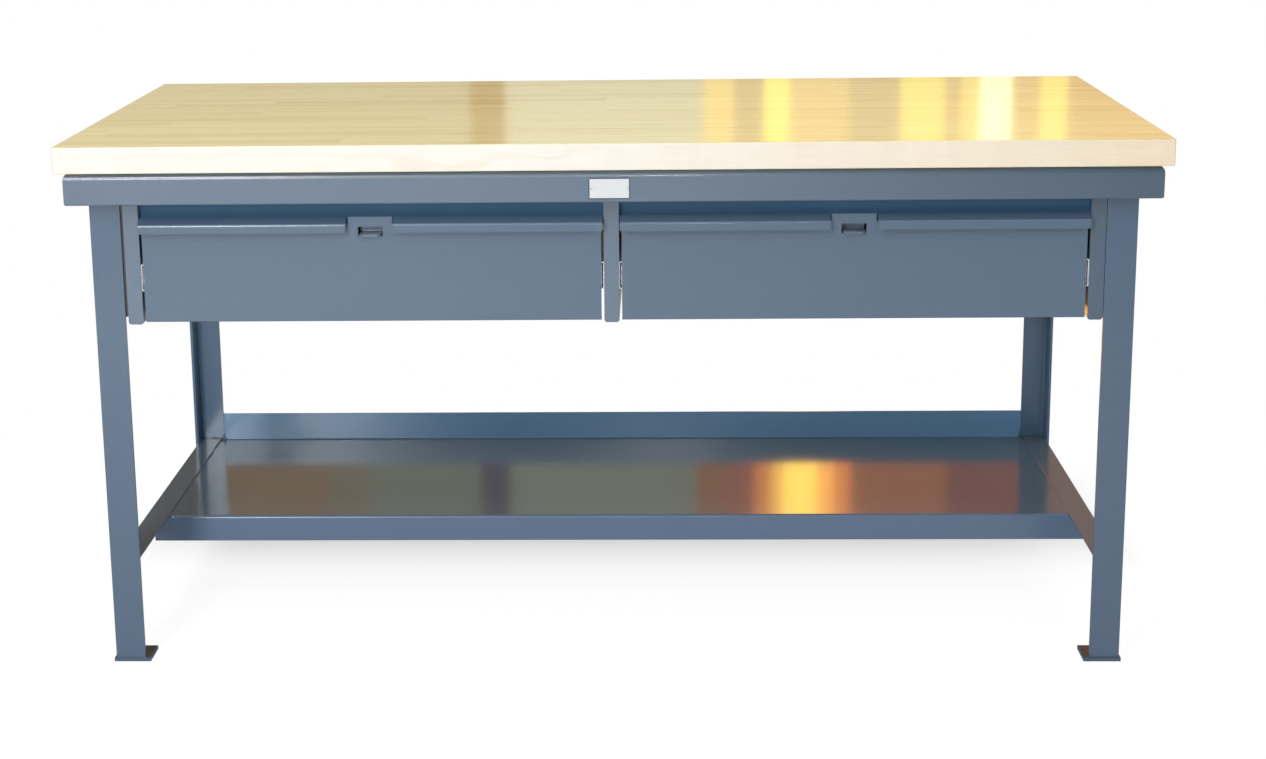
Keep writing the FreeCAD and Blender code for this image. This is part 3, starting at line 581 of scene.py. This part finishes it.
# The long edges are painted whiter than the top, and dimmer and warmer to the right: painted light from the
# front-left lamps.
edge_light_and_grain = add_node(tree, "Mix", {"Factor": spread(tree, axes[0], -0.1, 0.9, 0.0, 1.0), "A": given["Edge"],
                              "B": given["Edge dimmer right"]}, data_type="RGBA").outputs["Result"]
edge_light_and_grain = add_node(tree, "Mix", {"Factor": maths(tree, "MULTIPLY", flame, 0.16), "A": edge_light_and_grain, "B": given["Tan"]},
                data_type="RGBA").outputs["Result"]
end_rings = noise(tree, drawn_out(shifted, 1.0, 160.0, 700.0), 1.0, 3.0)
end_share = maths(tree, "MULTIPLY", sawn_end, maths(tree, "ADD", maths(tree, "MULTIPLY", chance, 0.3),
                                                   maths(tree, "MULTIPLY", end_rings, 0.5)))
edge_light_and_grain = add_node(tree, "Mix", {"Factor": end_share, "A": edge_light_and_grain, "B": given["Tan"]},
                data_type="RGBA").outputs["Result"]
wood = add_node(tree, "Mix", {"Factor": flat, "A": edge_light_and_grain, "B": wood}, data_type="RGBA").outputs["Result"]
tones = maths(tree, "ADD", maths(tree, "MULTIPLY", maths(tree, "SUBTRACT", pores, 0.5), 0.12),
              maths(tree, "MULTIPLY", maths(tree, "SUBTRACT", curl, 0.5), 0.1))
tones = maths(tree, "SUBTRACT", maths(tree, "ADD", tones, 1.0), maths(tree, "MULTIPLY", joint, 0.1))
finished = add_node(tree, "HueSaturation", {"Color": wood, "Value": tones})
tree.links.new(finished.outputs["Color"], made["Color"])
tree.links.new(spread(tree, pores, 0.3, 0.7, 0.1, 0.17), made["Roughness"])
tree.links.new(maths(tree, "SUBTRACT", pores, joint), made["Height"])

lacquered_maple, tree, shader = new_finish("lacquered_maple", Metallic=0.0, IOR=1.48)
# The edge colours are painted light: whiter on the left, where the front-left lamps fall, dimmer on the
# right.
boards = place_group(tree, maple_staves, {"Pale": srgb(250, 236, 188), "Tan": srgb(214, 184, 126),
                                          "Edge": srgb(237, 233, 224), "Edge dimmer right": srgb(238, 222, 196),
                                          "Stave width": 0.041, "Stave length": 0.62})
tree.links.new(boards["Color"], shader.inputs["Base Color"])
tree.links.new(boards["Roughness"], shader.inputs["Roughness"])
relief(tree, shader, boards["Height"], 0.06, 0.0003)
dress(lacquered_maple, "maple_top")


# Studio
# A pale floor, a high and a low soft lamp at the front left, a small flash by the camera, a long ceiling
# strip, and a weak fill from the right. Warm cards stand behind the bench, where only its shiny faces see
# them, and glow to the front alone.

scene = bpy.context.scene
scene.view_settings.view_transform = "Standard"
world = bpy.data.worlds.new("studio_air")
world.use_nodes = True
scene.world = world
tree = world.node_tree
path = add_node(tree, "LightPath").outputs
air = tree.nodes["Background"]
air.inputs["Color"].default_value = (1.0, 1.0, 1.0, 1.0)
sky = add_node(tree, "SeparateXYZ", {0: add_node(tree, "TexCoord").outputs["Generated"]}).outputs[2]
tree.links.new(spread(tree, sky, 0.3, 1.0, 0.26, 0.72), air.inputs["Strength"])
seen = add_node(tree, "Background", {"Color": (1.0, 1.0, 1.0, 1.0), "Strength": 1.0})
mixed = add_node(tree, "MixShader", {"Fac": path["Is Camera Ray"]})
tree.links.new(air.outputs[0], mixed.inputs[1])
tree.links.new(seen.outputs[0], mixed.inputs[2])
tree.links.new(mixed.outputs[0], tree.nodes["World Output"].inputs["Surface"])


def flat_card(name, corners, material):
    data = bpy.data.meshes.new(name)
    data.from_pydata(corners, [], [(0, 1, 2, 3)])
    data.materials.append(material)
    card = bpy.data.objects.new(name, data)
    scene.collection.objects.link(card)
    return card


floor_paint, tree, shader = new_finish("floor_paint", Roughness=0.9, Specular_IOR_Level=0.1)
where = add_node(tree, "TexCoord").outputs["Object"]
patchy = spread(tree, noise(tree, where, 3.0), 0.3, 0.7, 0.99, 1.01)
mottle = add_node(tree, "HueSaturation", {"Color": (0.9, 0.9, 0.9, 1.0), "Value": patchy})
tree.links.new(mottle.outputs["Color"], shader.inputs["Base Color"])
path = add_node(tree, "LightPath").outputs

# Plain white paper shows through the floor: least under the back of the bench, where the shadow stays,
# more in front and beside it, and wholly far behind.
spots = add_node(tree, "SeparateXYZ", {0: where}).outputs
behind = spots[1]
beside = spread(tree, maths(tree, "ABSOLUTE", spots[0]), 0.75, 1.05, 0.0, 0.74)
veiled = maths(tree, "MAXIMUM", spread(tree, behind, 0.08, 0.3, 0.74, 0.36),
               spread(tree, behind, 0.45, 1.1, 0.36, 1.0))
veiled = maths(tree, "MAXIMUM", veiled, beside)
paper = add_node(tree, "Emission", {"Color": (1.0, 1.0, 1.0, 1.0),
                                    "Strength": spread(tree, veiled, 0.36, 1.0, 1.5, 1.0)})
veil = add_node(tree, "MixShader", {"Fac": veiled})
tree.links.new(shader.outputs[0], veil.inputs[1])
tree.links.new(paper.outputs[0], veil.inputs[2])
choice = add_node(tree, "MixShader", {"Fac": path["Is Camera Ray"]})
tree.links.new(shader.outputs[0], choice.inputs[1])
tree.links.new(veil.outputs[0], choice.inputs[2])
tree.links.new(choice.outputs[0], tree.nodes["Material Output"].inputs["Surface"])
flat_card("floor", [(-30, -30, 0), (30, -30, 0), (30, 30, 0), (-30, 30, 0)], floor_paint)


def glow_card(name, colour, strength, left, right, low, high, y):
    material = bpy.data.materials.new(name + "_glow")
    material.use_nodes = True
    tree = material.node_tree
    tree.nodes.remove(tree.nodes["Principled BSDF"])
    glow = add_node(tree, "Emission", {"Color": colour, "Strength": strength})
    turned_away = add_node(tree, "MixShader", {"Fac": add_node(tree, "NewGeometry").outputs["Backfacing"]})
    tree.links.new(glow.outputs[0], turned_away.inputs[1])
    tree.links.new(add_node(tree, "BsdfTransparent").outputs[0], turned_away.inputs[2])
    tree.links.new(turned_away.outputs[0], tree.nodes["Material Output"].inputs["Surface"])
    card = flat_card(name, [(left, y, low), (right, y, low), (right, y, high), (left, y, high)], material)
    card.visible_camera = False
    card.visible_diffuse = False
    card.visible_shadow = False
    card.visible_transmission = False


# What the deck sees: a dim brown wall, greener in the middle and redder to the right, with a dark post
# and one orange window. What the top sees above it: a beige wall, the post, and yellow windows. All were
# set one by one for this view.
def glow_row(name, y, low, high, stretches):
    left = -3.2
    for number, (right, colour, strength) in enumerate(stretches):
        glow_card(f"{name}_{number}", srgb(*colour), strength, left, right, low, high, y)
        left = right


glow_row("low_wall", 1.2, 0.1, 0.9, (
    (-1.00, (112, 98, 84), 0.95), (-0.72, (168, 128, 76), 1.1), (-0.62, (158, 136, 96), 1.15),
    (-0.35, (148, 146, 122), 1.2),
    (-0.28, (108, 78, 92), 1.1), (0.17, (154, 154, 132), 1.3), (0.24, (178, 116, 66), 1.35),
    (0.31, (178, 104, 74), 1.5), (0.35, (255, 150, 66), 1.8), (0.38, (255, 190, 80), 3.0),
    (0.46, (255, 206, 86), 4.6), (0.50, (255, 176, 74), 3.6), (0.54, (255, 146, 66), 2.4),
    (0.58, (190, 116, 66), 1.5), (0.77, (196, 118, 66), 1.4), (0.96, (176, 92, 62), 1.1),
    (3.2, (168, 126, 100), 1.15)))
glow_row("high_wall", 3.2, 1.165, 2.4, (
    (-0.516, (212, 196, 150), 1.25), (-0.405, (196, 156, 84), 1.1), (0.228, (222, 214, 178), 1.35),
    (0.324, (255, 222, 128), 1.5), (0.419, (228, 196, 132), 1.25), (0.5, (255, 236, 110), 1.9),
    (0.69, (250, 214, 134), 1.4), (0.85, (232, 200, 136), 1.25), (0.99, (255, 232, 120), 1.7),
    (1.04, (246, 206, 130), 1.25), (1.1, (255, 226, 120), 1.6), (1.2, (255, 242, 190), 2.4),
    (1.29, (250, 210, 130), 1.3), (1.375, (255, 232, 120), 1.8), (3.2, (246, 200, 124), 1.25)))


def soft_lamp(name, place, aim, width, height, watts):
    lamp = bpy.data.lights.new(name, "AREA")
    lamp.shape = "RECTANGLE"
    lamp.size = width
    lamp.size_y = height
    lamp.energy = watts
    holder = bpy.data.objects.new(name, lamp)
    holder.location = place
    holder.rotation_euler = (Vector(aim) - Vector(place)).to_track_quat("-Z", "Y").to_euler()
    scene.collection.objects.link(holder)


soft_lamp("key", (-1.5, -3.9, 2.75), (-0.4, 0, 0.6), 0.8, 0.6, 42)
soft_lamp("low_key", (-1.45, -4.1, 1.45), (-0.4, 0, 0.6), 0.7, 0.45, 40)
soft_lamp("flash", (0.1, -4.35, 1.5), (0.0, 0, 0.6), 0.16, 0.12, 12)
soft_lamp("ceiling", (0.0, -3.0, 3.6), (0.0, 0, 0.6), 5.0, 0.5, 25)
soft_lamp("fill", (3.6, -3.4, 2.0), (0.2, 0, 0.5), 2.5, 2.0, 3)


# Camera
# Stands where the photographer stood, a little right of the bench's middle and above its top. Its place,
# turn and lens were fitted to the corners and edges of the bench in the photograph.

photo_width = 1266
focal_pixels = 2340.412
optical_middle = 573.52
place = Vector((0.077938, -4.23931, 1.435723))
yaw, pitch, roll = -0.037, 0.239, 0.013
forward = Vector((math.sin(yaw) * math.cos(pitch), math.cos(yaw) * math.cos(pitch), -math.sin(pitch)))
right = Vector((math.cos(yaw), -math.sin(yaw), 0.0))
down = forward.cross(right)
level_right = right * math.cos(roll) + down * math.sin(roll)
level_down = down * math.cos(roll) - right * math.sin(roll)
lens = bpy.data.cameras.new("photographer")
lens.sensor_fit = "HORIZONTAL"
lens.sensor_width = 36.0
lens.lens = focal_pixels * lens.sensor_width / photo_width
lens.shift_x = (photo_width / 2 - optical_middle) / photo_width
camera = bpy.data.objects.new("photographer", lens)
turned = Matrix((level_right, -level_down, -forward)).transposed().to_4x4()
camera.matrix_world = Matrix.Translation(place) @ turned
scene.collection.objects.link(camera)
scene.camera = camera
